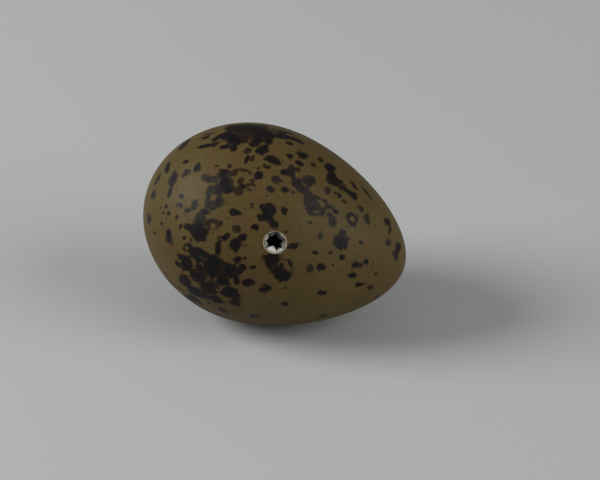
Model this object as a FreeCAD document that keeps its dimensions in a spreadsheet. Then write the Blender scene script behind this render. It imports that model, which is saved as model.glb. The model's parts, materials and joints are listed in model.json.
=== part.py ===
"""A blown seabird's egg lying on its side: a thin shell, its two membranes, and the drilled blow-hole.

Frame: millimetres, +Z up, the small end towards +X, the blow-hole towards -Y. The origin is on the
surface that the egg lies on, under the middle of the egg's box.

Every layer is the same pear-shaped outline, set in by the layers outside it. The layers, the hole and
the torn flaps are modelled in the egg's own frame, with the long axis along X, the broadest section at
X = 0 and the hole on the +Z side. One placement then rolls and tilts them all to where the egg lies.
"""

import FreeCAD, Part
import math
import os

import Sketcher
from FreeCAD import Placement, Rotation, Vector

os.makedirs("parts", exist_ok=True)

# Driving sizes, in millimetres, degrees or shares. A layer's name is its thickness.
SIZES = {
    "eggLength": 42.0,
    "eggBreadth": 31.2,
    "bluntLength": 17.8,  # blunt pole to the broadest section
    "bluntFullness": 0.55,  # how far each end keeps its breadth: 0.55 is an ellipse
    "tipFullness": 0.46,
    "sideFullness": 0.545,
    "tipEvenness": 0.62,  # share of an inset that keeps the walls even round the small end
    "shellWall": 0.18,
    "outerMembrane": 0.06,
    "innerMembrane": 0.04,
    "layerGap": 0.02,  # dried film between one layer and the next
    "airCellDepth": 3.2,  # at the middle of the air cell
    "airCellBall": 24.0,  # radius that the loose inner membrane bulges to
    "boreDiameter": 3.3,
    "bevelWidth": 0.11,
    "bevelDepth": 0.06,
    "holeStation": 5.1,  # from the broadest section, towards the small end
    "holeRoll": 67.2,  # from straight up, towards the viewer
    "flapCurl": 2.6,  # radius that the dried tongues curl to
    "tearGap": 0.12,  # slit between two tongues
    "tearReach": 0.09,  # how far the slits run in under the shell's edge
    "rootGap": 0.01,  # between a tongue's round root and the membranes' edge
    "punctureAlong": 0.1,  # where the slits met, from the middle of the hole
    "punctureAcross": -0.08,
    "tipShort": 0.16,  # what the burr took off each tongue's point
    "tipRound": 0.1,
    "firstTear": 232.0,  # angle of the first slit round the hole
}

# Each tongue's share of the hole, as the angle between its two slits, and how far it is folded in.
FLAPS = [(63, 42), (39, 61), (50, 54), (71, 48), (53, 46), (38, 51), (46, 54)]

CUT_OVER = 0.6  # how far a cutter stands out of the shell
CUT_DEPTH = 2.0  # how far a cutter runs into the hollow
OUTLINE_STEPS = 400  # points used to find how the egg lies

doc = FreeCAD.newDocument("blown_egg")
sheet = doc.addObject("Spreadsheet::Sheet", "sizes")


def fillSheet():
    """Writes the driving sizes to the sheet, one alias each."""
    values = dict(SIZES)
    for number, (span, fold) in enumerate(FLAPS, start=1):
        values[f"flap{number}Span"] = span
        values[f"flap{number}Fold"] = fold
    for row, (name, value) in enumerate(values.items(), start=1):
        sheet.set(f"A{row}", name)
        sheet.set(f"B{row}", str(value))
        sheet.setAlias(f"B{row}", name)
    doc.recompute()


def size(name):
    return float(getattr(sheet, name))


# ---- sketches -------------------------------------------------------------------------------------


def newSketch(body, name, role, offset=None):
    """A sketch on one of the body's own origin planes, moved on it by an attachment offset."""
    sketch = body.newObject("Sketcher::SketchObject", name)
    plane = next(f for f in body.Origin.OriginFeatures if f.Role == role)
    sketch.AttachmentSupport = [(plane, "")]
    sketch.MapMode = "FlatFace"
    if offset:
        sketch.AttachmentOffset = offset
    return sketch


def bind(sketch, kind, *geometry, to):
    """Adds a constraint whose value is an expression of the sheet's cells."""
    value = float(sketch.evalExpression(to))
    index = sketch.addConstraint(Sketcher.Constraint(kind, *geometry, value))
    sketch.setExpression(f"Constraints[{index}]", to)


def tie(sketch, kind, *geometry):
    sketch.addConstraint(Sketcher.Constraint(kind, *geometry))


def outlinePoles(inset):
    """Control points of the blunt and the small end's curves, as numbers."""
    blunt = size("bluntLength") - inset
    tip = size("eggLength") - size("bluntLength") - inset
    half = size("eggBreadth") / 2 - inset
    bluntFullness, tipFullness = size("bluntFullness"), size("tipFullness")
    side = size("sideFullness") * blunt
    tipSide = side * math.sqrt((1 - tipFullness) / (1 - bluntFullness))
    tipRise = tipFullness * size("eggBreadth") / 2 - size("tipEvenness") * inset
    return (
        [(-blunt, 0), (-blunt, bluntFullness * half), (-side, half), (0, half)],
        [(0, half), (tipSide, half), (tip, tipRise), (tip, 0)],
    )


def outlineCurve(points):
    curve = Part.BSplineCurve()
    poles = [Vector(x, y, 0) for x, y in points]
    curve.buildFromPolesMultsKnots(poles, [4, 4], [0, 1], False, 3)
    return curve


def eggSketch(body, name, inset, insetExpression):
    """Half the egg's outline over its long axis: one curve for each end, of one curvature where they meet."""
    sketch = newSketch(body, name, "XZ_Plane")
    half = f"(sizes.eggBreadth / 2 - ({insetExpression}))"
    blunt = f"(sizes.bluntLength - ({insetExpression}))"
    tip = f"(sizes.eggLength - sizes.bluntLength - ({insetExpression}))"
    side = f"sizes.sideFullness * {blunt}"
    tipSide = f"{side} * sqrt((1 - sizes.tipFullness) / (1 - sizes.bluntFullness))"
    tipRise = f"sizes.tipFullness * sizes.eggBreadth / 2 - sizes.tipEvenness * ({insetExpression})"
    ends = []
    for points in outlinePoles(inset):
        curve = sketch.addGeometry(outlineCurve(points), False)
        sketch.exposeInternalGeometry(curve)
        ends.append([curve + 1 + n for n in range(4)])
    bluntEnd, tipEnd = ends
    origin, horizontal, vertical = (-1, 1), -1, -2
    for pole, along, across in (
        (bluntEnd[0], blunt, None),
        (bluntEnd[1], blunt, f"sizes.bluntFullness * {half}"),
        (bluntEnd[2], side, half),
        (bluntEnd[3], None, half),
        (tipEnd[1], tipSide, half),
        (tipEnd[2], tip, tipRise),
        (tipEnd[3], tip, None),
    ):
        onTheLeft = pole in bluntEnd
        if along:
            pair = (pole, 3, *origin) if onTheLeft else (*origin, pole, 3)
            bind(sketch, "DistanceX", *pair, to=along)
        else:
            tie(sketch, "PointOnObject", pole, 3, vertical)
        if across:
            bind(sketch, "DistanceY", *origin, pole, 3, to=across)
        else:
            tie(sketch, "PointOnObject", pole, 3, horizontal)
    tie(sketch, "Coincident", tipEnd[0], 3, bluntEnd[3], 3)
    bluntCurve, tipCurve = bluntEnd[0] - 1, tipEnd[0] - 1
    (bluntX, _), (tipX, _) = outlinePoles(inset)[0][0], outlinePoles(inset)[1][3]
    axis = sketch.addGeometry(Part.LineSegment(Vector(tipX, 0, 0), Vector(bluntX, 0, 0)), False)
    tie(sketch, "Coincident", axis, 1, tipCurve, 2)
    tie(sketch, "Coincident", axis, 2, bluntCurve, 1)
    return sketch


def revolve(body, kind, name, sketch, axis):
    """A full turn of the sketch about one of its own axes, added or cut away."""
    feature = body.newObject(kind, name)
    feature.Profile = sketch
    feature.ReferenceAxis = (sketch, [axis])
    feature.Angle = 360
    sketch.Visibility = False
    return feature


# ---- where the hole is ----------------------------------------------------------------------------


def holeFrame():
    """The blow-hole in the egg's own frame: its middle on the shell's outer face, and its axis' lean."""
    curve = outlineCurve(outlinePoles(0)[1])
    low, high = 0.0, 1.0
    for _ in range(50):
        middle = (low + high) / 2
        if curve.value(middle).x < size("holeStation"):
            low = middle
        else:
            high = middle
    point, along = curve.value(low), curve.tangent(low)[0]
    lean = math.degrees(math.atan2(-along.y, along.x))
    return Vector(point.x, 0, point.y), lean


def holePlacement():
    """From the hole's frame, with Z out along its axis, to the egg's own frame."""
    middle, lean = holeFrame()
    return Placement(middle, Rotation(Vector(0, 1, 0), lean))


def rimDrop(radius):
    """How far the round side of the egg has fallen away at this distance from the hole's axis."""
    return radius**2 / size("eggBreadth")


def holeSketch(body):
    """Half the section of the drilled hole over its axis: a short bore, flared by the burr's bevel."""
    middle, lean = holeFrame()
    offset = Placement(Vector(middle.x, middle.z, 0), Rotation(Vector(0, 0, 1), -lean))
    sketch = newSketch(body, "drilled_hole_section", "XZ_Plane", offset)
    bore = "sizes.boreDiameter / 2"
    rim = f"({bore})^2 / sizes.eggBreadth + sizes.bevelDepth"
    flare = f"{bore} + sizes.bevelWidth / sizes.bevelDepth * ({rim} + {CUT_OVER})"
    radius = size("boreDiameter") / 2
    rimDepth = rimDrop(radius) + size("bevelDepth")
    top = radius + size("bevelWidth") / size("bevelDepth") * (rimDepth + CUT_OVER)
    corners = [(0, -CUT_DEPTH), (radius, -CUT_DEPTH), (radius, -rimDepth), (top, CUT_OVER), (0, CUT_OVER)]
    lines = closedLoop(sketch, corners)
    tie(sketch, "Horizontal", lines[0])
    tie(sketch, "Vertical", lines[1])
    tie(sketch, "Horizontal", lines[3])
    tie(sketch, "PointOnObject", lines[4], 1, -2)
    tie(sketch, "PointOnObject", lines[4], 2, -2)
    bind(sketch, "DistanceY", lines[0], 1, -1, 1, to=f"{CUT_DEPTH}")
    bind(sketch, "DistanceY", -1, 1, lines[4], 1, to=f"{CUT_OVER}")
    bind(sketch, "DistanceX", -1, 1, lines[1], 1, to=bore)
    bind(sketch, "DistanceY", lines[1], 2, -1, 1, to=rim)
    bind(sketch, "DistanceX", -1, 1, lines[2], 2, to=flare)
    return sketch


def closedLoop(sketch, corners):
    """Straight lines from corner to corner and back to the first, joined end to end."""
    points = [Vector(x, y, 0) for x, y in corners]
    following = points[1:] + points[:1]
    lines = [sketch.addGeometry(Part.LineSegment(a, b), False) for a, b in zip(points, following)]
    for line, after in zip(lines, lines[1:] + lines[:1]):
        tie(sketch, "Coincident", line, 2, after, 1)
    return lines


# ---- the layers -----------------------------------------------------------------------------------

OPENING_RADIUS = "(sizes.boreDiameter / 2 + sizes.tearReach)"


def openingRadius():
    """From the hole's axis to the slits' outer ends, which are the corners of the torn opening."""
    return size("boreDiameter") / 2 + size("tearReach")


LAYERS = {  # each layer's two faces, as what lies outside them
    "shell": ("0", "sizes.shellWall"),
    "outer": (
        "sizes.shellWall + sizes.layerGap",
        "sizes.shellWall + sizes.layerGap + sizes.outerMembrane",
    ),
    "inner": (
        "sizes.shellWall + 2 * sizes.layerGap + sizes.outerMembrane",
        "sizes.shellWall + 2 * sizes.layerGap + sizes.outerMembrane + sizes.innerMembrane",
    ),
}


def depths(layer):
    """A layer's two faces as numbers: how far each is set in from the egg's outside."""
    shell, gap = size("shellWall"), size("layerGap")
    outer, inner = size("outerMembrane"), size("innerMembrane")
    return {
        "shell": (0, shell),
        "outer": (shell + gap, shell + gap + outer),
        "inner": (shell + 2 * gap + outer, shell + 2 * gap + outer + inner),
    }[layer]


def solidEgg(label, layer, face):
    """A solid pear shape of the layer's outer (0) or inner (1) face."""
    body = doc.addObject("PartDesign::Body", label)
    sketch = eggSketch(body, "outline", depths(layer)[face], LAYERS[layer][face])
    revolve(body, "PartDesign::Revolution", "pear_shape", sketch, "H_Axis")
    return body


def hollow(body, layer):
    """Cuts a layer's inner face out of its solid pear shape."""
    sketch = eggSketch(body, "hollow_outline", depths(layer)[1], LAYERS[layer][1])
    revolve(body, "PartDesign::Groove", "hollow", sketch, "H_Axis")


def tornOpening(body):
    """Cuts the seven-sided opening that the tongues were torn from: a side for each tongue."""
    sketch = newSketch(body, "torn_opening", "XY_Plane", holePlacement())
    turns = [math.radians(angle) for angle in tearAngles()]
    corners = [(openingRadius() * math.cos(turn), openingRadius() * math.sin(turn)) for turn in turns]
    for number, line in enumerate(closedLoop(sketch, corners)):
        turn = tearExpression(number)
        bind(sketch, "DistanceX", -1, 1, line, 1, to=f"{OPENING_RADIUS} * cos({turn})")
        bind(sketch, "DistanceY", -1, 1, line, 1, to=f"{OPENING_RADIUS} * sin({turn})")
    pocket = body.newObject("PartDesign::Pocket", "opening")
    pocket.Profile = sketch
    pocket.SideType = "Symmetric"
    pocket.Length = 2 * CUT_DEPTH
    sketch.Visibility = False


def makeShell():
    shell = solidEgg("eggshell", "shell", 0)
    hollow(shell, "shell")
    revolve(shell, "PartDesign::Groove", "drilled_hole", holeSketch(shell), "V_Axis")
    return shell


def makeOuterMembrane():
    """Lines the shell all over, round the air cell too."""
    membrane = solidEgg("outer_membrane", "outer", 0)
    hollow(membrane, "outer")
    tornOpening(membrane)
    return membrane


def makeInnerMembrane():
    """Lies on the outer membrane, and leaves it at the blunt end, where it closes the air cell off."""
    radius = "sizes.airCellBall"
    face = f"({LAYERS['inner'][0]})"
    centre = f"{face} - sizes.bluntLength + sizes.airCellDepth - {radius}"
    skins = []
    for number, grown in ((0, "0"), (1, "sizes.innerMembrane")):
        egg = solidEgg(f"inner_membrane_face_{number + 1}", "inner", number)
        ball = doc.addObject("Part::Sphere", f"air_cell_ball_{number + 1}")
        ball.setExpression("Radius", f"{radius} + {grown}")
        ball.setExpression("Placement.Base.x", centre)
        skin = doc.addObject("Part::Cut", f"inner_membrane_skin_{number + 1}")
        skin.Base, skin.Tool = egg, ball
        if number == 0:
            tornOpening(egg)
        skins.append(skin)
    membrane = doc.addObject("Part::Cut", "inner_membrane")
    membrane.Base, membrane.Tool = skins
    return membrane


# ---- the torn tongues -----------------------------------------------------------------------------


def tearAngles():
    """Where each slit is round the hole. The last tongue takes what the others leave of the turn."""
    angles = [size("firstTear")]
    for number in range(1, len(FLAPS)):
        angles.append(angles[-1] + size(f"flap{number}Span"))
    return angles


def tearExpression(number):
    spans = "".join(f" + sizes.flap{n}Span" for n in range(1, number + 1))
    return f"(sizes.firstTear{spans}) * 1 deg"


def spanExpression(number):
    """The angle between a tongue's two slits, halved."""
    if number < len(FLAPS):
        return f"(sizes.flap{number}Span / 2) * 1 deg"
    others = "".join(f" - sizes.flap{n}Span" for n in range(1, len(FLAPS)))
    return f"((360{others}) / 2) * 1 deg"


def skinPair():
    """Both membranes together, as they are in a tongue."""
    return size("outerMembrane") + size("innerMembrane")


def flapFacts(number):
    """A tongue's middle angle, its root's distance from the hole's axis, and where the slits met beyond it."""
    angles = tearAngles() + [size("firstTear") + 360]
    first, last = angles[number - 1], angles[number]
    middle = math.radians((first + last) / 2)
    side = openingRadius() * math.cos(math.radians((last - first) / 2))
    root = side - skinPair() / 2 - size("rootGap")
    along, across = size("punctureAlong"), size("punctureAcross")
    reach = root - (along * math.cos(middle) + across * math.sin(middle))
    aside = along * math.sin(middle) - across * math.cos(middle)
    return middle, root, reach, aside


def flapPlacement(number):
    """From the tongue's frame, with its root along Y and its point towards +X, to the egg's own frame."""
    middle, root, _, _ = flapFacts(number)
    level = depths("inner")[0] - size("layerGap") / 2 + rimDrop(root)
    place = Vector(root * math.cos(middle), root * math.sin(middle), -level)
    turn = Rotation(Vector(0, 0, 1), math.degrees(middle) + 180)
    fold = Rotation(Vector(0, 1, 0), size(f"flap{number}Fold"))
    return holePlacement().multiply(Placement(place, turn.multiply(fold)))


def curlSketch(body, reach):
    """Side view of a tongue: two layers thick, curled, and rounded where it bends at its root."""
    sketch = newSketch(body, "curled_section", "XZ_Plane")
    curl, half = size("flapCurl"), skinPair() / 2
    centre = Vector(0, -curl, 0)
    straightUp = math.pi / 2
    up, away = Vector(0, 0, 1), Vector(0, half, 0)
    outer = Part.ArcOfCircle(Part.Circle(centre, up, curl + half), math.acos(reach / (curl + half)), straightUp)
    inner = Part.ArcOfCircle(Part.Circle(centre, up, curl - half), math.acos(reach / (curl - half)), straightUp)
    bead = Part.ArcOfCircle(Part.Circle(Vector(), up, half), straightUp, 3 * straightUp)
    outerArc, innerArc, rootArc = (sketch.addGeometry(g, False) for g in (outer, inner, bead))
    end = sketch.addGeometry(Part.LineSegment(outer.StartPoint, inner.StartPoint), False)
    tie(sketch, "Coincident", rootArc, 3, -1, 1)
    tie(sketch, "Coincident", outerArc, 3, innerArc, 3)
    tie(sketch, "PointOnObject", outerArc, 3, -2)
    tie(sketch, "PointOnObject", outerArc, 2, -2)
    tie(sketch, "PointOnObject", innerArc, 2, -2)
    tie(sketch, "Coincident", rootArc, 1, outerArc, 2)
    tie(sketch, "Coincident", rootArc, 2, innerArc, 2)
    tie(sketch, "Coincident", end, 1, outerArc, 1)
    tie(sketch, "Coincident", end, 2, innerArc, 1)
    tie(sketch, "Vertical", end)
    bind(sketch, "Radius", rootArc, to="(sizes.outerMembrane + sizes.innerMembrane) / 2")
    bind(sketch, "DistanceY", outerArc, 3, -1, 1, to="sizes.flapCurl")
    bind(sketch, "DistanceX", -1, 1, outerArc, 1, to=f"{reach}")
    return sketch


def tongueSketch(body, number, reach, aside):
    """What is trimmed off a tongue: a frame round its three-sided outline, with a round point."""
    sketch = newSketch(body, "tongue_outline", "XY_Plane")
    back, margin = skinPair(), size("boreDiameter")
    frame = [(-margin, -margin), (margin, -margin), (margin, margin), (-margin, margin)]
    edges = closedLoop(sketch, frame)
    for edge, direction in zip(edges, ("Horizontal", "Vertical") * 2):
        tie(sketch, direction, edge)
    tie(sketch, "Symmetric", edges[0], 1, edges[2], 1, -1, 1)
    bind(sketch, "DistanceX", edges[0], 1, -1, 1, to="sizes.boreDiameter")
    bind(sketch, "DistanceY", edges[0], 1, -1, 1, to="sizes.boreDiameter")
    span = math.radians(size(f"flap{number}Span")) if number < len(FLAPS) else lastSpan()
    width = openingRadius() * math.sin(span / 2) - size("tearGap") / 2
    point, radius = reach - size("tipShort"), size("tipRound")
    tip = Vector(point - radius, aside, 0)
    quarter = math.pi / 2
    round_ = Part.ArcOfCircle(Part.Circle(tip, Vector(0, 0, 1), radius), -0.8 * quarter, 0.8 * quarter)
    root = sketch.addGeometry(Part.LineSegment(Vector(-back, width, 0), Vector(-back, -width, 0)), False)
    right = sketch.addGeometry(Part.LineSegment(Vector(-back, -width, 0), round_.StartPoint), False)
    nose = sketch.addGeometry(round_, False)
    left = sketch.addGeometry(Part.LineSegment(round_.EndPoint, Vector(-back, width, 0)), False)
    tie(sketch, "Coincident", root, 2, right, 1)
    tie(sketch, "Coincident", left, 2, root, 1)
    tie(sketch, "Tangent", right, 2, nose, 1)
    tie(sketch, "Tangent", nose, 2, left, 1)
    tie(sketch, "Symmetric", root, 1, root, 2, -1)
    half = f"{OPENING_RADIUS} * sin({spanExpression(number)}) - sizes.tearGap / 2"
    bind(sketch, "DistanceX", root, 1, -1, 1, to="sizes.outerMembrane + sizes.innerMembrane")
    bind(sketch, "DistanceY", -1, 1, root, 1, to=half)
    bind(sketch, "Radius", nose, to="sizes.tipRound")
    bind(sketch, "DistanceX", -1, 1, nose, 3, to=f"{reach} - sizes.tipShort - sizes.tipRound")
    bind(sketch, "DistanceY", -1, 1, nose, 3, to=f"{aside}")
    return sketch


def lastSpan():
    return math.radians(360 - sum(size(f"flap{n}Span") for n in range(1, len(FLAPS))))


def makeFlap(number):
    """One torn tongue of both membranes, still hanging by its root from a side of the opening."""
    _, _, reach, aside = flapFacts(number)
    body = doc.addObject("PartDesign::Body", f"membrane_flap_{number}")
    curl = body.newObject("PartDesign::Pad", "curled_strip")
    section = curlSketch(body, reach)
    curl.Profile = section
    curl.SideType = "Symmetric"
    curl.setExpression("Length", "sizes.boreDiameter")
    trim = body.newObject("PartDesign::Pocket", "torn_outline")
    outline = tongueSketch(body, number, reach, aside)
    trim.Profile = outline
    trim.SideType = "Symmetric"
    trim.setExpression("Length", "2 * sizes.boreDiameter")
    section.Visibility = outline.Visibility = False
    return body


# ---- how the egg lies -----------------------------------------------------------------------------


def lyingPlacement(balance):
    """From the egg's own frame to where it rests: hole rolled round, and tilted until it balances.

    balance is how far the shell's centre of mass is from the broadest section. On its side the egg
    tips its small end down until that centre stands over the point that it touches down on.
    """
    outline = []
    for points in outlinePoles(0):
        curve = outlineCurve(points)
        outline += [curve.value(n / OUTLINE_STEPS) for n in range(OUTLINE_STEPS + 1)]

    def lowest(tilt):
        return min(outline, key=lambda p: -p.x * math.sin(tilt) - p.y * math.cos(tilt))

    low, high = 0.0, math.radians(60)
    for _ in range(50):
        tilt = (low + high) / 2
        foot = lowest(tilt)
        if (foot.x - balance) * math.cos(tilt) - foot.y * math.sin(tilt) < 0:
            low = tilt
        else:
            high = tilt
    foot = lowest(tilt)
    right = max(p.x * math.cos(tilt) + p.y * math.sin(tilt) for p in outline)
    left = min(p.x * math.cos(tilt) - p.y * math.sin(tilt) for p in outline)
    lift = foot.x * math.sin(tilt) + foot.y * math.cos(tilt)
    turn = Rotation(Vector(0, 1, 0), math.degrees(tilt))
    roll = Rotation(Vector(1, 0, 0), size("holeRoll"))
    print(f"tilt {math.degrees(tilt):.2f} deg, lift {lift:.3f}")
    return Placement(Vector(-(left + right) / 2, 0, lift), turn.multiply(roll))


def checkDocument(parts):
    for thing in doc.Objects:
        if {"Invalid", "Error"} & set(thing.State):
            raise RuntimeError(f"{thing.Label} failed: {thing.State}")
    for part in parts:
        shape = part.Shape
        if shape.isNull() or not shape.isValid() or len(shape.Solids) != 1:
            raise RuntimeError(f"{part.Label} isn't one valid solid")


def main():
    fillSheet()
    layers = [makeShell(), makeOuterMembrane(), makeInnerMembrane()]
    flaps = [makeFlap(number) for number in range(1, len(FLAPS) + 1)]
    doc.recompute()
    lying = lyingPlacement(layers[0].Shape.CenterOfGravity.x)
    for layer in layers:
        layer.Placement = lying
    for number, flap in enumerate(flaps, start=1):
        flap.Placement = lying.multiply(flapPlacement(number))
    doc.recompute()
    parts = layers + flaps
    checkDocument(parts)
    for part in parts:
        part.Shape.exportStep(f"parts/{part.Label}.step")
        print(f"{part.Label}: {part.Shape.Volume:.4f} mm3")


main()
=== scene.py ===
import json
import math
import random

import bpy
import numpy as np
from mathutils import Matrix, Vector


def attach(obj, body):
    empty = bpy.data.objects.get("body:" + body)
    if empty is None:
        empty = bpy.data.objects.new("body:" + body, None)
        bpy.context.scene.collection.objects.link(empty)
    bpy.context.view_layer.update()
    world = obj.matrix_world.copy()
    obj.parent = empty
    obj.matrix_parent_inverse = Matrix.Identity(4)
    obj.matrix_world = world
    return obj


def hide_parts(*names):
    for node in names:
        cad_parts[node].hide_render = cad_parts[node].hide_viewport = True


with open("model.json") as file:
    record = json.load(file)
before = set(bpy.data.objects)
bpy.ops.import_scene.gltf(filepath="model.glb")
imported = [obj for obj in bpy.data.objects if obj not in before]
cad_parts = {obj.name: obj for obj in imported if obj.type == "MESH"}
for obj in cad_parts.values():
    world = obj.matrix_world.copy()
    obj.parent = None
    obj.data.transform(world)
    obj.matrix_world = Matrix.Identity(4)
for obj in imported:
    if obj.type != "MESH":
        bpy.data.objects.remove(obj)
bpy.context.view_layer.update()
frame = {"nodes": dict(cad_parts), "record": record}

mm = 0.001

# how the egg lies: its own frame has the long axis on X, the broadest section at X = 0
# and the blow-hole on the +Z side
lying = {
    "along": -3.044,   # mm, from the middle of the box to the broadest section
    "lift": 15.7635,
    "tilt": 12.136,    # degrees, small end down
    "holeRoll": 67.2,
}
eggToWorld = (
    Matrix.Translation((lying["along"] * mm, 0, lying["lift"] * mm))
    @ Matrix.Rotation(math.radians(lying["tilt"]), 4, "Y")
    @ Matrix.Rotation(math.radians(lying["holeRoll"]), 4, "X")
)


def hexColour(code):
    # sRGB hex to the linear colour that the shaders take
    parts = [int(code[i:i + 2], 16) / 255 for i in (1, 3, 5)]
    return tuple(p / 12.92 if p <= 0.04045 else ((p + 0.055) / 1.055) ** 2.4 for p in parts) + (1.0,)


def link(material, source, socket):
    material.node_tree.links.new(source, socket)


def addNode(material, kind, links=None, values=None, **options):
    # one node, with its options and sockets set and its inputs linked
    node = material.node_tree.nodes.new("ShaderNode" + kind)
    for option, value in options.items():
        setattr(node, option, value)
    for socket, value in (values or {}).items():
        node.inputs[socket].default_value = value
    for socket, source in (links or {}).items():
        link(material, source, node.inputs[socket])
    return node


def newMaterial(name):
    material = bpy.data.materials.new(name)
    material.use_nodes = True
    shader = material.node_tree.nodes["Principled BSDF"]
    coords = addNode(material, "TexCoord").outputs["Object"]
    return material, shader, coords


def deselectAll():
    if bpy.context.object and bpy.context.object.mode != "OBJECT":
        bpy.ops.object.mode_set(mode="OBJECT")
    bpy.ops.object.select_all(action="DESELECT")


def makeActive(piece):
    deselectAll()
    piece.select_set(True)
    bpy.context.view_layer.objects.active = piece


def selectVertices(piece, test):
    bpy.ops.object.mode_set(mode="EDIT")
    bpy.ops.mesh.select_mode(type="VERT")
    bpy.ops.mesh.select_all(action="DESELECT")
    bpy.ops.object.mode_set(mode="OBJECT")
    for vertex in piece.data.vertices:
        vertex.select = test(vertex.co)
    bpy.ops.object.mode_set(mode="EDIT")


def settle(piece, matrix):
    # puts the piece in its place and leaves its object at the origin
    makeActive(piece)
    piece.matrix_world = matrix
    bpy.ops.object.transform_apply(location=True, rotation=True, scale=True)


def applyModifier(piece, kind, **settings):
    makeActive(piece)
    modifier = piece.modifiers.new(kind.title(), kind)
    for name, value in settings.items():
        setattr(modifier, name, value)
    bpy.ops.object.modifier_apply(modifier=modifier.name)


shell = {
    "length": 42.0, "breadth": 31.2, "bluntLength": 17.8,   # mm
    "bluntFullness": 0.55, "tipFullness": 0.46, "sideFullness": 0.545, "tipEvenness": 0.62,
    "wall": 0.18,
    "outsideSteps": 92, "outsideTurns": 300,   # along each end's curve, and round
    "insideSteps": 30, "insideTurns": 128,
}
hole = {
    "bore": 3.3, "bevelWidth": 0.11, "bevelDepth": 0.06,   # mm
    "along": 5.1, "height": 15.0272,   # its middle on the shell's outer face
    "lean": 12.067,
    "facets": 112,
    "above": 0.6, "below": 2.0,   # how far its cutter reaches out of the shell and into the hollow
}
holeToEgg = Matrix.Translation((hole["along"] * mm, 0, hole["height"] * mm)) @ Matrix.Rotation(
    math.radians(hole["lean"]), 4, "Y"
)


def outlinePoints(inset):
    # the three points of half the outline and their handles, in mm
    blunt = shell["bluntLength"] - inset
    tip = shell["length"] - shell["bluntLength"] - inset
    half = shell["breadth"] / 2 - inset
    side = shell["sideFullness"] * blunt
    tipSide = side * math.sqrt((1 - shell["tipFullness"]) / (1 - shell["bluntFullness"]))
    bluntRise = shell["bluntFullness"] * half
    tipRise = shell["tipFullness"] * shell["breadth"] / 2 - shell["tipEvenness"] * inset
    return (
        ((-blunt, 0), (-blunt, -bluntRise), (-blunt, bluntRise)),
        ((0, half), (-side, half), (tipSide, half)),
        ((tip, 0), (tip, tipRise), (tip, -tipRise)),
    )


def spunEgg(name, inset, steps, turns):
    # half the outline as a Bezier curve, spun a full turn about the long axis
    deselectAll()
    bpy.ops.curve.primitive_bezier_curve_add()
    egg = bpy.context.object
    egg.name = name
    spline = egg.data.splines[0]
    spline.bezier_points.add(1)
    spline.resolution_u = steps
    for knot, (at, before, after) in zip(spline.bezier_points, outlinePoints(inset)):
        knot.handle_left_type = knot.handle_right_type = "FREE"
        knot.co = (at[0] * mm, 0, at[1] * mm)
        knot.handle_left = (before[0] * mm, 0, before[1] * mm)
        knot.handle_right = (after[0] * mm, 0, after[1] * mm)
    makeActive(egg)
    bpy.ops.object.convert(target="MESH")
    egg = bpy.context.object
    bpy.ops.object.mode_set(mode="EDIT")
    bpy.ops.mesh.select_all(action="SELECT")
    bpy.ops.mesh.spin(steps=turns, angle=2 * math.pi, center=(0, 0, 0), axis=(1, 0, 0))
    bpy.ops.mesh.select_all(action="SELECT")
    bpy.ops.mesh.remove_doubles(threshold=0.002 * mm)
    bpy.ops.mesh.normals_make_consistent(inside=False)
    bpy.ops.object.mode_set(mode="OBJECT")
    return egg


def drillCutter():
    # a cylinder of the bore, with its top drawn out into the bevel's flare
    bore = hole["bore"] / 2
    drop = bore ** 2 / shell["breadth"] + hole["bevelDepth"]
    above, below = hole["above"], hole["below"]
    flare = bore + hole["bevelWidth"] / hole["bevelDepth"] * (drop + above)
    deselectAll()
    bpy.ops.mesh.primitive_cylinder_add(
        vertices=hole["facets"], radius=bore * mm, depth=(below - drop) * mm,
        location=(0, 0, -(below + drop) / 2 * mm),
    )
    cutter = bpy.context.object
    makeActive(cutter)
    bpy.ops.object.transform_apply(location=True, rotation=False, scale=False)
    selectVertices(cutter, lambda co: co.z > -(below + drop) / 2 * mm)
    bpy.ops.mesh.extrude_region_move(TRANSFORM_OT_translate={"value": (0, 0, (drop + above) * mm)})
    grow = flare / bore
    bpy.ops.transform.resize(value=(grow, grow, 1), center_override=(0, 0, 0))
    bpy.ops.mesh.select_all(action="SELECT")
    bpy.ops.mesh.normals_make_consistent(inside=False)
    bpy.ops.object.mode_set(mode="OBJECT")
    settle(cutter, holeToEgg)
    return cutter


def makeShell():
    egg = spunEgg("blotchedShell", 0, shell["outsideSteps"], shell["outsideTurns"])
    hollow = spunEgg("hollow", shell["wall"], shell["insideSteps"], shell["insideTurns"])
    cutter = drillCutter()
    for tool in (hollow, cutter):
        applyModifier(egg, "BOOLEAN", object=tool, operation="DIFFERENCE", solver="EXACT")
        bpy.data.objects.remove(tool)
    return egg


blotchedShell = makeShell()
print("shell:", len(blotchedShell.data.vertices), "vertices")

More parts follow.
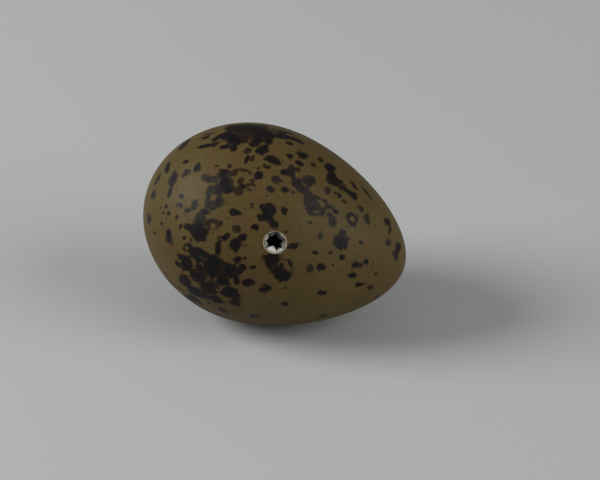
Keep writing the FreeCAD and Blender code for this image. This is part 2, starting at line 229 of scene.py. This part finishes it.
# blotches as (along, bearing, length, width): mm from the broadest section towards the small end,
# degrees from straight up towards the hole's side, mm, mm; some lean, by degrees off the long axis
darkBlotches = [   # laid on the surface last
    # along the top
    (-7.2, 4.5, 2.6, 3.6), (-5.1, 10.5, 2.3, 2.3), (-6.2, 9, 2.0, 2.4), (-5.5, 16.5, 1.2, 2.2),
    (-6.4, -7, 3.8, 4.0), (-3.6, -7, 3.4, 3.4), (-2.5, 7.5, 1.9, 4.0), (-0.9, 4.5, 1.6, 2.2),
    (0.9, -4, 2.8, 2.0), (-1.6, -1.5, 3.0, 2.0), (-1.1, 15, 2.0, 2.3), (2.3, 1, 1.3, 1.0, 10),
    (3.2, 12.5, 1.3, 1.2), (1.0, 19.5, 2.5, 1.5, 5), (4.6, 7.5, 1.8, 2.4), (4.7, 15, 1.6, 1.3, 10),
    (6.8, 10.8, 1.4, 1.0, 10), (7.5, 1.8, 1.0, 1.0, 10), (9.3, 4.5, 1.9, 2.2), (10.3, 11.5, 1.8, 2.4),
    (11.2, 12.8, 1.9, 1.9), (12.1, 14.5, 1.9, 1.5, 10), (13.3, 14.8, 1.3, 1.1), (14.2, 16, 1.0, 1.7),
    (13.6, 4.8, 1.6, 0.8, 20), (15.7, 0, 2.6, 0.6, 20), (19.8, 9, 1.1, 2.3, 10), (20.6, 15, 0.7, 1.6),
    (12.1, 22.8, 0.6, 0.6), (-9.9, 14.3, 2.9, 1.1), (-7.0, 17, 1.8, 1.2), (-8.8, 8.5, 1.1, 1.3),
    (-10.5, 3.5, 1.6, 1.3), (-13.6, -1, 1.2, 2.6), (-2.8, 24.5, 0.6, 1.7), (-0.6, 28.7, 0.5, 0.6),
    (-0.3, 32.3, 1.6, 1.5), (0.9, -12, 2.6, 1.2), (2.6, -6.5, 1.4, 1.6), (3.3, 26, 1.2, 0.9),
    # the broad end's side
    (-12.0, 28.5, 0.9, 0.7), (-9.9, 35.3, 1.1, 1.1), (-9.8, 31.5, 0.6, 0.8),
    (-14.75, 28.5, 0.7, 2.2, -10), (-13.0, 43.5, 1.0, 1.7), (-12.9, 57, 0.9, 1.7),
    (-12.9, 53.3, 0.5, 0.8), (-10.7, 57, 0.9, 0.8), (-9.1, 64, 1.2, 1.0), (-4.0, 45.5, 1.9, 1.5, 25),
    (-4.9, 42, 1.3, 1.9), (-5.6, 37.1, 1.1, 1.1), (-5.4, 35.2, 2.2, 0.7, 5), (-12.8, 67, 0.6, 0.6),
    (-13.7, 70, 0.5, 0.9), (-13.1, 73, 0.5, 0.6), (-12.1, 71, 0.5, 0.6), (-10.6, 71.6, 0.5, 0.9),
    (-6.4, 61.8, 1.3, 0.7), (-6.4, 74.5, 2.9, 3.2), (-8.3, 74.5, 1.4, 1.0), (-11.4, 85.5, 1.2, 1.6),
    (-7.7, 87.5, 1.6, 1.6), (-12.9, 82, 0.6, 0.7), (-13.7, 96, 0.6, 0.8), (-9.6, 76.5, 0.5, 0.8),
    (-8.4, 82, 0.6, 0.6), (-7.5, 81, 0.6, 0.7),
    # left of the hole, and the mesh of them low down
    (-2.0, 41.6, 0.9, 1.0), (-3.6, 53.5, 0.7, 0.8), (-1.9, 57, 2.3, 1.1), (1.6, 62, 0.9, 0.8),
    (0.3, 69, 1.0, 1.2), (-2.2, 72, 0.8, 1.0), (-0.5, 75, 1.9, 2.1), (0.9, 73.5, 0.7, 0.7),
    (-2.9, 79.5, 1.0, 2.6, -15), (-5.2, 86.3, 3.0, 1.4), (0.3, 83.5, 1.4, 1.4), (1.4, 85.5, 1.2, 0.9),
    (2.9, 84.5, 1.1, 0.8), (-2.8, 89.5, 3.4, 2.8), (-0.3, 90.5, 3.2, 2.7), (0.9, 95.5, 1.4, 2.6),
    (2.8, 95.5, 2.0, 1.4), (-3.1, 94.5, 3.0, 2.8), (-1.2, 98, 2.4, 2.2), (-6.0, 90, 2.2, 1.2, 20),
    (-5.1, 96, 1.7, 1.6), (-7.4, 98, 1.9, 3.4), (-8.4, 96.5, 1.6, 1.0), (-8.7, 103, 1.1, 1.2),
    (-5.2, 104, 2.8, 2.2), (-7.1, 113.5, 2.4, 2.6), (-3.2, 109, 3.2, 2.8), (0.3, 106, 3.2, 2.8),
    (-4.8, 118, 3.6, 2.8), (-1.8, 115.5, 2.8, 2.2), (1.4, 112.5, 2.0, 1.8), (1.4, 80.5, 0.6, 0.6),
    # above the hole, below it and beyond it
    (3.0, 51, 2.1, 2.9), (2.0, 55.5, 1.0, 1.1), (2.7, 55, 2.0, 1.3), (1.7, 49.5, 0.6, 0.8),
    (4.3, 57.3, 1.9, 1.2), (4.3, 35.8, 1.0, 1.1), (5.0, 48.3, 1.1, 1.1), (6.2, 59.5, 0.6, 0.6),
    (8.0, 66.5, 1.4, 1.1, -20), (7.3, 68.5, 0.5, 0.5), (5.4, 78.3, 2.9, 2.8), (6.5, 82, 1.9, 2.2),
    (7.4, 85.8, 2.3, 2.6), (8.3, 78.5, 0.9, 2.0, -20), (8.4, 94.5, 0.8, 0.8), (5.6, 97, 1.9, 1.6),
    (8.8, 108.5, 1.2, 1.2), (14.4, 55.5, 2.1, 2.1), (14.2, 48, 1.0, 1.1), (15.1, 66, 0.7, 0.8),
    (13.3, 65, 0.8, 0.7), (11.2, 67.5, 1.1, 0.9), (12.7, 76, 1.4, 1.2), (14.1, 73, 0.8, 0.8),
    (17.2, 50, 0.6, 0.6), (17.3, 70, 1.2, 1.2), (18.1, 70.5, 0.9, 0.9), (18.7, 65.5, 0.7, 0.9),
    (17.3, 80.5, 1.0, 1.1), (20.6, 78, 0.7, 0.8), (18.8, 91, 1.4, 0.8), (13.4, 97, 1.2, 1.0),
    (12.3, 36, 0.8, 0.6), (22.6, 25, 0.8, 1.8), (14.9, 34, 1.4, 1.6),
]
thinBlotches = [   # the same pigment laid thin, red-brown
    (-4.3, -2, 2.6, 2.6), (-3.7, 5.5, 1.9, 3.2), (-3.3, 18, 1.6, 1.5), (-2.1, 24, 0.7, 1.2),
    (0.5, 26, 1.5, 1.0), (0.6, -8, 2.4, 1.4), (-4.9, 30.8, 1.7, 1.0), (-2.9, 32.2, 2.9, 0.6),
    (-1.6, 33.2, 1.0, 0.7), (-3.8, 34, 1.0, 1.6), (-7.0, 32.3, 1.2, 0.6), (-2.6, 38.8, 1.0, 1.6),
    (-2.5, 45.5, 1.7, 1.1), (-0.9, 36.8, 0.9, 0.6), (-0.7, 41.5, 1.8, 1.5), (-0.5, 52, 1.9, 1.4),
    (-4.7, 68, 2.6, 2.2), (-4.6, 71.5, 1.6, 0.8), (-3.6, 66.5, 0.9, 1.4), (13.0, 25, 0.9, 0.9),
    (9.2, 49.5, 0.9, 0.7), (10.2, 23.5, 1.0, 1.5), (5.0, 19.5, 0.9, 1.3), (17.0, 26, 1.1, 2.2, -10),
    (-1.1, 66, 1.9, 1.7), (4.7, 63, 0.6, 0.6), (-8.4, 13, 1.2, 1.6), (-5.2, 101, 3.0, 2.2),
    (-2.4, 104, 2.6, 2.0), (11.4, 22.3, 0.6, 0.6),
]
greyBlotches = [   # buried in the shell before it was finished
    (-5.2, 47.5, 2.6, 2.3), (-4.8, 41, 2.0, 2.8), (-7.2, 41.5, 2.8, 1.3), (-6.6, 48, 1.7, 1.7),
    (-6.4, 53, 0.9, 2.7), (-4.9, 52.5, 1.5, 2.0), (-5.6, 56.5, 1.4, 1.6), (-5.3, 37.5, 2.4, 2.2),
    (-4.1, 45, 2.3, 2.3), (-13.0, 44, 1.5, 2.8), (-11.2, 39.3, 1.3, 1.5), (-8.3, 60, 1.3, 2.1),
    (-10.9, 62.3, 1.4, 0.8), (-15.8, 42, 0.8, 1.7), (-15.7, 62.5, 0.8, 1.7), (-6.9, 67, 2.3, 2.4),
    (-10.2, -2, 2.0, 1.0), (2.4, 31.5, 1.7, 1.5), (4.0, 23.2, 1.6, 2.4), (7.1, 24, 2.3, 2.2),
    (5.5, 29.5, 1.9, 1.5), (6.6, 31.5, 1.8, 1.5), (7.8, 34, 1.9, 2.1), (8.7, 37, 2.4, 2.1),
    (8.9, 41, 1.9, 1.7), (9.7, 43, 1.1, 1.0), (9.0, 32.5, 1.5, 0.9), (10.3, 33, 1.1, 0.9),
    (11.3, 34, 1.7, 1.3), (10.5, 39.5, 0.9, 1.8), (12.2, 42.3, 1.3, 1.7), (11.6, 39.5, 0.9, 1.0),
    (2.0, 39.6, 1.4, 1.2), (5.5, 36, 0.8, 0.6), (14.9, 34, 1.8, 2.0), (15.5, 21.5, 1.1, 0.9),
    (9.9, 16, 1.3, 1.6), (11.3, 55, 1.1, 1.5), (22.5, 42, 1.2, 1.5), (20.9, 33.5, 0.9, 1.2),
    (-10.9, 90.5, 1.3, 1.4), (-15.3, 90, 1.2, 1.9), (11.0, 78.5, 1.1, 1.2), (20.3, 98, 1.0, 1.0),
    (-3.5, -13, 5.0, 2.0), (-3.6, -3, 8.4, 4.4), (-5.6, 6, 4.0, 4.0), (3.6, -6, 1.6, 1.6),
]
paleCentres = [   # where a blotch dried as a ring
    (14.9, 34.6, 0.8, 0.9), (-7.7, 87.5, 0.7, 0.7), (-0.6, 41, 0.9, 0.6), (-0.4, 52, 1.0, 0.6),
    (-5.8, 52, 0.7, 0.7), (-4.7, 68, 0.8, 0.7),
]
farSide = {   # the side away from the hole
    "seed": 41,
    "dark": (190, 3.2), "grey": (70, 3.0), "thin": (60, 1.6),   # how many, and about how large in mm
    "start": -17, "end": 23.5,   # mm along the egg
    "from": 122, "to": 338,   # degrees
    "wreath": -4.5, "wreathWidth": 7.0,   # mm, where most of them crowd
    "strays": 0.22,   # share that is kept far from there
    "smallest": 0.5,
    "mostlySmall": 3.2,   # a higher power leaves fewer large ones
}
pigmentDepth = {
    "outside": -1.5,   # far from every blotch
    "least": 0.3, "bySize": 0.16,   # at a blotch's middle, in mm, and what its size adds
    "ring": 1.6,   # how much a pale centre outdoes the blotch round it
}


def scatterBlotches(count, largest):
    # mostly small ones, and the large ones round the broad end
    found = []
    while len(found) < count:
        along = random.uniform(farSide["start"], farSide["end"])
        crowd = math.exp(-((along - farSide["wreath"]) / farSide["wreathWidth"]) ** 2)
        if random.random() > farSide["strays"] + (1 - farSide["strays"]) * crowd:
            continue
        size = largest * random.random() ** farSide["mostlySmall"] * (0.35 + 0.65 * crowd)
        span = farSide["smallest"] + size
        found.append((along, random.uniform(farSide["from"], farSide["to"]), span * random.uniform(0.8, 1.5),
                      span * random.uniform(0.7, 1.2), random.uniform(-60, 60)))
    return found


random.seed(farSide["seed"])
darkBlotches += scatterBlotches(*farSide["dark"])
greyBlotches += scatterBlotches(*farSide["grey"])
thinBlotches += scatterBlotches(*farSide["thin"])


def depthInside(spot, along, bearing, radius):
    # about how far inside a blotch's edge each point is, in mm, and less than 0 outside
    centre, toward, length, width = spot[:4]
    lean = math.radians(spot[4]) if len(spot) > 4 else 0
    u = along - centre
    v = np.radians((bearing - toward + 180) % 360 - 180) * radius
    c, s = math.cos(lean), math.sin(lean)
    reach = np.hypot((u * c + v * s) / (length / 2), (v * c - u * s) / (width / 2))
    return (1 - reach) * (pigmentDepth["least"] + pigmentDepth["bySize"] * math.sqrt(length * width))


def paintBlotches(piece):
    # one attribute for each kind of pigment
    count = len(piece.data.vertices)
    flat = np.empty(count * 3)
    piece.data.vertices.foreach_get("co", flat)
    x, y, z = (flat.reshape(count, 3) / mm).T
    where = (x, np.degrees(np.arctan2(-y, z)) + lying["holeRoll"], np.hypot(y, z))
    for name, spots in (("surfacePigment", darkBlotches), ("thinPigment", thinBlotches),
                        ("buriedPigment", greyBlotches)):
        depth = np.full(count, pigmentDepth["outside"])
        for spot in spots:
            depth = np.maximum(depth, depthInside(spot, *where))
        for spot in paleCentres:
            depth = np.minimum(depth, -pigmentDepth["ring"] * depthInside(spot, *where))
        layer = piece.data.attributes.new(name, "FLOAT", "POINT")
        layer.data.foreach_set("value", depth.astype(np.float32))


paintBlotches(blotchedShell)
print("blotches:", len(darkBlotches), "dark,", len(thinBlotches), "thin,", len(greyBlotches), "grey")

eggPaint = {
    "ground": "#4E4121",
    "edges": ((1.7, 0.33), (0.7, 0.11)),   # lobes at a blotch's edge: mm wide, mm in and out
    "noises": {"cloud": 7.0, "warm": 2.4, "freckle": 0.5, "patch": 1.1, "mottle": 0.6},   # mm
    "specks": 1.3, "pores": 0.3,   # mm apart
}


def pigmentedShell():
    # wild bird's eggshell: calcite under a thin cuticle, olive-buff, with grey pigment buried in the
    # shell and dark brown laid on it late; a dull sheen, and fine pores that only roughen it
    material, shader, coords = newMaterial("Pigmented eggshell")
    sources = {}
    for name, size in eggPaint["noises"].items():
        noise = addNode(material, "TexNoise", {"Vector": coords},
                        {"Scale": 1000 / size, "Detail": 3.0, "Roughness": 0.6})
        sources[name] = noise.outputs["Fac"]
    for number, name in enumerate(("surfacePigment", "thinPigment", "buriedPigment")):
        shift = (0.03 * number, 0.01 * number, 0)   # so that no two kinds share their edges
        moved = addNode(material, "Mapping", {"Vector": coords}, {"Location": shift})
        shape = addNode(material, "Attribute", attribute_name=name).outputs["Fac"]
        for size, reach in eggPaint["edges"]:
            lobes = addNode(material, "TexNoise", {"Vector": moved.outputs[0]},
                            {"Scale": 1000 / size, "Detail": 2.5, "Roughness": 0.55})
            push = addNode(material, "Math", {0: lobes.outputs["Fac"]}, {1: 4 * reach, 2: -2 * reach},
                           operation="MULTIPLY_ADD")
            shape = addNode(material, "Math", {0: shape, 1: push.outputs[0]}, operation="ADD").outputs[0]
        sources[name] = shape

    # specks: a dot in most cells of a coarse pattern, each as large as its cell's random value
    cells = addNode(material, "TexVoronoi", {"Vector": coords}, {"Scale": 1000 / eggPaint["specks"]})
    cellValue = addNode(material, "SeparateColor", {"Color": cells.outputs["Color"]})
    dot = addNode(material, "MapRange", {"Value": cellValue.outputs[0]},
                  {"From Min": 0.45, "From Max": 1.0, "To Max": 0.19})
    sources["speck"] = addNode(material, "Math", {0: dot.outputs[0], 1: cells.outputs["Distance"]},
                               operation="SUBTRACT").outputs[0]

    masks = {}
    for name, source, low, high in (
        ("cloud", "cloud", 0.35, 0.65), ("warm", "warm", 0.42, 0.68), ("freckle", "freckle", 0.4, 0.7),
        ("patch", "patch", 0.38, 0.58), ("mottle", "mottle", 0.2, 0.42), ("speck", "speck", 0.0, 0.03),
        ("dark", "surfacePigment", 0.0, 0.09), ("halo", "surfacePigment", -0.14, 0.02),
        ("core", "surfacePigment", 0.1, 0.42), ("brown", "thinPigment", -0.06, 0.12),
        ("grey", "buriedPigment", -0.07, 0.09), ("deepGrey", "buriedPigment", 0.12, 0.4),
    ):
        masks[name] = addNode(material, "MapRange", {"Value": sources[source]},
                              {"From Min": low, "From Max": high}, interpolation_type="SMOOTHSTEP").outputs[0]

    # coats, each over the last: its mask, what breaks it up, the most of it that shows, its colour
    tint = None
    for mask, breaks, most, code in (
        ("cloud", None, 1.0, "#534726"), ("warm", None, 0.65, "#543F28"), ("freckle", None, 0.3, "#3D311A"),
        ("grey", "mottle", 0.95, "#241E1B"), ("deepGrey", "patch", 0.9, "#161517"),
        ("brown", "mottle", 0.9, "#1E130D"), ("halo", None, 0.55, "#27190E"),
        ("speck", None, 0.7, "#21160E"), ("dark", None, 0.95, "#150F0D"), ("core", "patch", 1.0, "#0A0A0E"),
    ):
        share = addNode(material, "Math", {0: masks[mask]}, {1: most}, operation="MULTIPLY")
        if breaks:
            share = addNode(material, "Math", {0: share.outputs[0], 1: masks[breaks]}, operation="MULTIPLY")
        coat = addNode(material, "Mix", {"Factor": share.outputs[0]},
                       {6: hexColour(eggPaint["ground"]), 7: hexColour(code)}, data_type="RGBA")
        if tint:
            link(material, tint, coat.inputs[6])
        tint = coat.outputs[2]
    link(material, tint, shader.inputs["Base Color"])

    rough = addNode(material, "MapRange", {"Value": masks["dark"]}, {"To Min": 0.52, "To Max": 0.48})
    link(material, rough.outputs[0], shader.inputs["Roughness"])
    pores = addNode(material, "TexVoronoi", {"Vector": coords}, {"Scale": 1000 / eggPaint["pores"]})
    height = addNode(material, "Math", {0: pores.outputs["Distance"], 2: sources["mottle"]}, {1: 0.35},
                     operation="MULTIPLY_ADD")
    bump = addNode(material, "Bump", {"Height": height.outputs[0]}, {"Strength": 0.35, "Distance": 0.02 * mm})
    link(material, bump.outputs[0], shader.inputs["Normal"])
    shader.inputs["Specular IOR Level"].default_value = 0.11
    return material


def drilledCalcite():
    # cut eggshell: chalk-white calcite crystals, dull and finely granular where the burr left them
    material, shader, coords = newMaterial("Drilled calcite")
    grain = addNode(material, "TexNoise", {"Vector": coords}, {"Scale": 1000 / 0.12, "Detail": 4.0})
    tint = addNode(material, "Mix", {"Factor": grain.outputs["Fac"]},
                   {6: hexColour("#746E5A"), 7: hexColour("#A6A08B")}, data_type="RGBA")
    link(material, tint.outputs[2], shader.inputs["Base Color"])
    bump = addNode(material, "Bump", {"Height": grain.outputs["Fac"]},
                   {"Strength": 0.6, "Distance": 0.02 * mm})
    link(material, bump.outputs[0], shader.inputs["Normal"])
    shader.inputs["Roughness"].default_value = 0.75
    return material


def parchment(name, pale, dark, fibre):
    # dried shell membrane: felted protein fibres, off-white, with a faint sheen along the felt
    material, shader, coords = newMaterial(name)
    stretch = addNode(material, "Mapping", {"Vector": coords}, {"Scale": (1.0, 2.4, 1.6)})
    felt = addNode(material, "TexNoise", {"Vector": stretch.outputs[0]},
                   {"Scale": 1000 / fibre, "Detail": 6.0, "Roughness": 0.7, "Distortion": 1.4})
    mottle = addNode(material, "TexNoise", {"Vector": coords}, {"Scale": 1000 / 0.9, "Detail": 3.0})
    both = addNode(material, "Math", {0: felt.outputs["Fac"], 1: mottle.outputs["Fac"]}, operation="MULTIPLY")
    spread = addNode(material, "MapRange", {"Value": both.outputs[0]}, {"From Min": 0.12, "From Max": 0.4})
    tint = addNode(material, "Mix", {"Factor": spread.outputs[0]},
                   {6: hexColour(dark), 7: hexColour(pale)}, data_type="RGBA")
    link(material, tint.outputs[2], shader.inputs["Base Color"])
    bump = addNode(material, "Bump", {"Height": felt.outputs["Fac"]},
                   {"Strength": 0.5, "Distance": 0.03 * mm})
    link(material, bump.outputs[0], shader.inputs["Normal"])
    shader.inputs["Roughness"].default_value = 0.6
    shader.inputs["Sheen Weight"].default_value = 0.2
    return material


def dressShell(piece):
    # pigment outside, bare calcite on the drilled edge and the inner face
    piece.data.materials.clear()
    piece.data.materials.append(pigmentedShell())
    piece.data.materials.append(drilledCalcite())
    toHole = holeToEgg.inverted()
    rim = hole["bore"] / 2 + hole["bevelWidth"] + 0.05
    for face in piece.data.polygons:
        centre = face.center
        inward = face.normal.dot(Vector((0, centre.y, centre.z))) < 0
        inHole = toHole @ centre
        leaning = abs((toHole.to_3x3() @ face.normal).z) < 0.97
        cut = math.hypot(inHole.x, inHole.y) < rim * mm and inHole.z > -mm and leaning
        face.material_index = 1 if inward or cut else 0


dressShell(blotchedShell)
settle(blotchedShell, eggToWorld)
bpy.ops.object.shade_smooth_by_angle(angle=math.radians(16))
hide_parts("eggshell")
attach(blotchedShell, "root")

for node, pale, dark in (("outer_membrane", "#CFCABA", "#A59C84"), ("inner_membrane", "#DAD6C9", "#B3AB96")):
    skin = frame["nodes"][node]
    finish = parchment("Dried " + node.replace("_", " "), pale, dark, 0.16)
    for slot in skin.material_slots:
        slot.material = finish
print("membranes dressed")

tongue = {
    "spans": (63, 39, 50, 71, 53, 38, 46),   # degrees between the slits at a tongue's sides
    "folds": (42, 61, 54, 48, 46, 51, 54),   # degrees in from flat
    "firstTear": 232.0,
    "tearReach": 0.09, "tearGap": 0.12, "rootGap": 0.01, "thickness": 0.1, "depth": 0.27,   # mm
    "puncture": (0.1, -0.08), "tipShort": 0.16, "tipWidth": 0.16,
    "curl": 2.6,   # radius that they dried to
    # each tongue's look, round from the first tear; grey and dark are painted shade on the tongues that sit
    # in shadow, partly stain
    "tonesAndPaintedShade": ("clean", "clean", "grey", "dark", "dark", "pink", "grey"),
    "rows": 22, "columns": 16,
    "belly": 0.10, "uneven": 0.05,   # share of the width that its middle gains and its sides wander
    "wander": 0.012, "tipFray": 0.06, "edgeFray": 0.03,   # mm
    "cup": 0.05, "crumple": 0.028, "crumpleLength": 0.23, "crumpleWidth": 0.19,   # mm
    "smoothRoot": 0.4,   # mm that stay uncrumpled at the root
    "seed": 7,
}


def tongueFacts(number):
    # middle angle, distance of the root, reach to the puncture, sideways offset and half width, in mm
    span = math.radians(tongue["spans"][number])
    start = math.radians(tongue["firstTear"] + sum(tongue["spans"][:number]))
    middle = start + span / 2
    opening = hole["bore"] / 2 + tongue["tearReach"]
    root = opening * math.cos(span / 2) - tongue["thickness"] / 2 - tongue["rootGap"]
    px, py = tongue["puncture"]
    reach = root - (px * math.cos(middle) + py * math.sin(middle))
    aside = px * math.sin(middle) - py * math.cos(middle)
    return middle, root, reach, aside, opening * math.sin(span / 2) - tongue["tearGap"] / 2


def tornTongue(number, finish):
    middle, root, reach, aside, half = tongueFacts(number)
    length = reach - tongue["tipShort"]
    deselectAll()
    bpy.ops.mesh.primitive_grid_add(x_subdivisions=tongue["rows"], y_subdivisions=tongue["columns"],
                                    size=1, location=(0, 0, 0))
    piece = bpy.context.object
    piece.name = f"tornTongue{number + 1}"
    bpy.ops.object.mode_set(mode="EDIT")
    bpy.ops.mesh.select_all(action="SELECT")
    bpy.ops.transform.resize(value=(length * mm, 2 * half * mm, 1), center_override=(0, 0, 0))
    bpy.ops.transform.translate(value=(length / 2 * mm, 0, 0))
    # narrowed row by row to the torn point, which is off the middle
    rowLength = length / tongue["rows"]
    for row in range(tongue["rows"] + 1):
        share = row / tongue["rows"]
        full = half * (1 - share) + tongue["tipWidth"] / 2 * share
        full *= 1 + tongue["belly"] * math.sin(math.pi * share) + random.uniform(-1, 1) * tongue["uneven"]
        at = row * rowLength * mm
        selectVertices(piece, lambda co: abs(co.x - at) < rowLength * mm / 4)
        bpy.ops.transform.resize(value=(1, full / half, 1), center_override=(at, 0, 0))
        stray = random.uniform(-tongue["wander"], tongue["wander"])
        bpy.ops.transform.translate(value=(0, (aside * share + stray) * mm, 0))
    # the torn edge: short ragged fibres all along it, most at the point
    selectVertices(piece, lambda co: co.x > (length - rowLength * 1.5) * mm)
    bpy.ops.transform.vertex_random(offset=tongue["tipFray"] * mm, seed=tongue["seed"] + number)
    bpy.ops.mesh.select_all(action="SELECT")
    bpy.ops.mesh.region_to_loop()
    bpy.ops.transform.vertex_random(offset=tongue["edgeFray"] * mm, seed=tongue["seed"] * 3 + number)
    bpy.ops.object.mode_set(mode="OBJECT")
    flatten = Matrix.Diagonal((1, 1, 0, 1))
    piece.data.transform(flatten)
    # curled inwards along its length, cupped a little across it, and crumpled as it dried
    radius = tongue["curl"] * mm
    for vertex in piece.data.vertices:
        turn = vertex.co.x / radius
        cup = (vertex.co.y / (half * mm)) ** 2 * tongue["cup"] * mm
        along = vertex.co.x / (tongue["crumpleLength"] * mm) + number
        across = vertex.co.y / (tongue["crumpleWidth"] * mm) + 2 * number
        crumple = tongue["crumple"] * mm * math.sin(along) * math.cos(across)
        out = radius + cup + crumple * min(1, vertex.co.x / (tongue["smoothRoot"] * mm))
        vertex.co = Vector((out * math.sin(turn), vertex.co.y, out * math.cos(turn) - radius))
    applyModifier(piece, "SOLIDIFY", thickness=tongue["thickness"] * mm, offset=0, use_even_offset=False)
    applyModifier(piece, "SUBSURF", levels=1, render_levels=1)
    piece.data.materials.append(finish)
    depth = tongue["depth"] + root ** 2 / shell["breadth"]
    place = Matrix.Translation((root * math.cos(middle) * mm, root * math.sin(middle) * mm, -depth * mm))
    turn = Matrix.Rotation(middle + math.pi, 4, "Z")
    fold = Matrix.Rotation(math.radians(tongue["folds"][number]), 4, "Y")
    settle(piece, eggToWorld @ holeToEgg @ place @ turn @ fold)
    bpy.ops.object.shade_smooth_by_angle(angle=math.radians(50))
    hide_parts(f"membrane_flap_{number + 1}")
    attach(piece, "root")
    return piece


random.seed(tongue["seed"])
tornTonesAndPaintedShade = {   # clean and pink are the membrane's own tints; grey and dark are dimmer copies of it, painted shade for the tongues that sit in shadow, partly stain from dried contents
    "clean": parchment("Torn membrane", "#E9E8E0", "#B9B6A9", 0.12),
    "pink": parchment("Torn membrane, yolk film", "#C4B6AE", "#85766F", 0.12),
    "grey": parchment("Torn membrane, grey stain and painted shade", "#8B8A80", "#55544D", 0.12),
    "dark": parchment("Torn membrane, dark stain and painted shade", "#3D3939", "#232122", 0.12),
}
for number, tongueLook in enumerate(tongue["tonesAndPaintedShade"]):
    tornTongue(number, tornTonesAndPaintedShade[tongueLook])
print("tongues torn and folded")

studio = {
    "floor": "#ABACAC", "floorReach": 1.6, "sweep": 0.5, "sweepSteps": 12, "backdrop": 1.5,   # m
    "cameraTurn": 13.03, "cameraHeight": 28.0,   # degrees
    "distance": 380.0, "lens": 145.9,   # mm
    "aimRight": 5.07, "aimDown": 2.09,   # mm, from the egg's centre of mass to the middle of the view
    "centreHeight": 15.36,   # mm
    "roomLight": 0.25,
    "lamps": (   # direction from the egg, m away, m across, W
        ("windowLamp", (-0.78, -0.22, 0.5), 0.9, 0.5, 8.2),
        ("roomLamp", (0.85, -0.22, 0.42), 1.2, 1.1, 9.8),
    ),
}


def makeFloor():
    # a plane whose far edge sweeps up into a backdrop
    deselectAll()
    reach = studio["floorReach"]
    bpy.ops.mesh.primitive_plane_add(size=2 * reach, location=(0, 0, 0))
    floor = bpy.context.object
    floor.name = "paperSweep"
    selectVertices(floor, lambda co: co.y > 0)
    steps = studio["sweepSteps"]
    for step in range(steps):
        turn = math.radians(90 * (step + 0.5) / steps)
        length = studio["sweep"] * math.pi / 2 / steps
        bpy.ops.mesh.extrude_region_move(TRANSFORM_OT_translate={
            "value": (0, length * math.cos(turn), length * math.sin(turn))})
    bpy.ops.mesh.extrude_region_move(TRANSFORM_OT_translate={"value": (0, 0, studio["backdrop"])})
    bpy.ops.object.mode_set(mode="OBJECT")
    bpy.ops.object.shade_smooth()
    material, shader, coords = newMaterial("Matt paper")
    tooth = addNode(material, "TexNoise", {"Vector": coords}, {"Scale": 900.0, "Detail": 3.0})
    bump = addNode(material, "Bump", {"Height": tooth.outputs["Fac"]},
                   {"Strength": 0.05, "Distance": 0.2 * mm})
    link(material, bump.outputs[0], shader.inputs["Normal"])
    shader.inputs["Base Color"].default_value = hexColour(studio["floor"])
    shader.inputs["Roughness"].default_value = 0.9
    floor.data.materials.append(material)


def areaLamp(name, towards, distance, size, power):
    # towards is the direction from the egg to the lamp
    centre = Vector((0, 0, studio["centreHeight"] * mm))
    deselectAll()
    bpy.ops.object.light_add(type="AREA", location=centre + Vector(towards).normalized() * distance)
    lamp = bpy.context.object
    lamp.name = name
    lamp.data.shape = "DISK"
    lamp.data.size = size
    lamp.data.energy = power
    lamp.rotation_euler = (lamp.location - centre).to_track_quat("Z", "Y").to_euler()
    return lamp


makeFloor()
for lamp in studio["lamps"]:
    areaLamp(*lamp)

world = bpy.data.worlds.new("Soft room")
world.use_nodes = True
world.node_tree.nodes["Background"].inputs["Color"].default_value = (1, 1, 1, 1)
world.node_tree.nodes["Background"].inputs["Strength"].default_value = studio["roomLight"]
bpy.context.scene.world = world


def makeCamera():
    turn, height = math.radians(studio["cameraTurn"]), math.radians(studio["cameraHeight"])
    mounts = {mount["name"]: mount for mount in frame["record"]["mounts"]}
    foot = mounts["resting_point"]["pos_m"]
    centre = Vector((foot[0], 0, studio["centreHeight"] * mm))
    back = Vector((math.sin(turn) * math.cos(height), -math.cos(turn) * math.cos(height), math.sin(height)))
    right = Vector((math.cos(turn), math.sin(turn), 0))
    aim = centre + right * studio["aimRight"] * mm - back.cross(right) * studio["aimDown"] * mm
    bpy.ops.object.camera_add(location=centre + back * studio["distance"] * mm)
    camera = bpy.context.object
    camera.rotation_euler = (camera.location - aim).to_track_quat("Z", "Y").to_euler()
    camera.data.lens = studio["lens"]
    camera.data.sensor_width = 36
    camera.data.clip_start = 0.01
    bpy.context.scene.camera = camera


makeCamera()
bpy.context.scene.view_settings.view_transform = "Standard"
print("studio set")
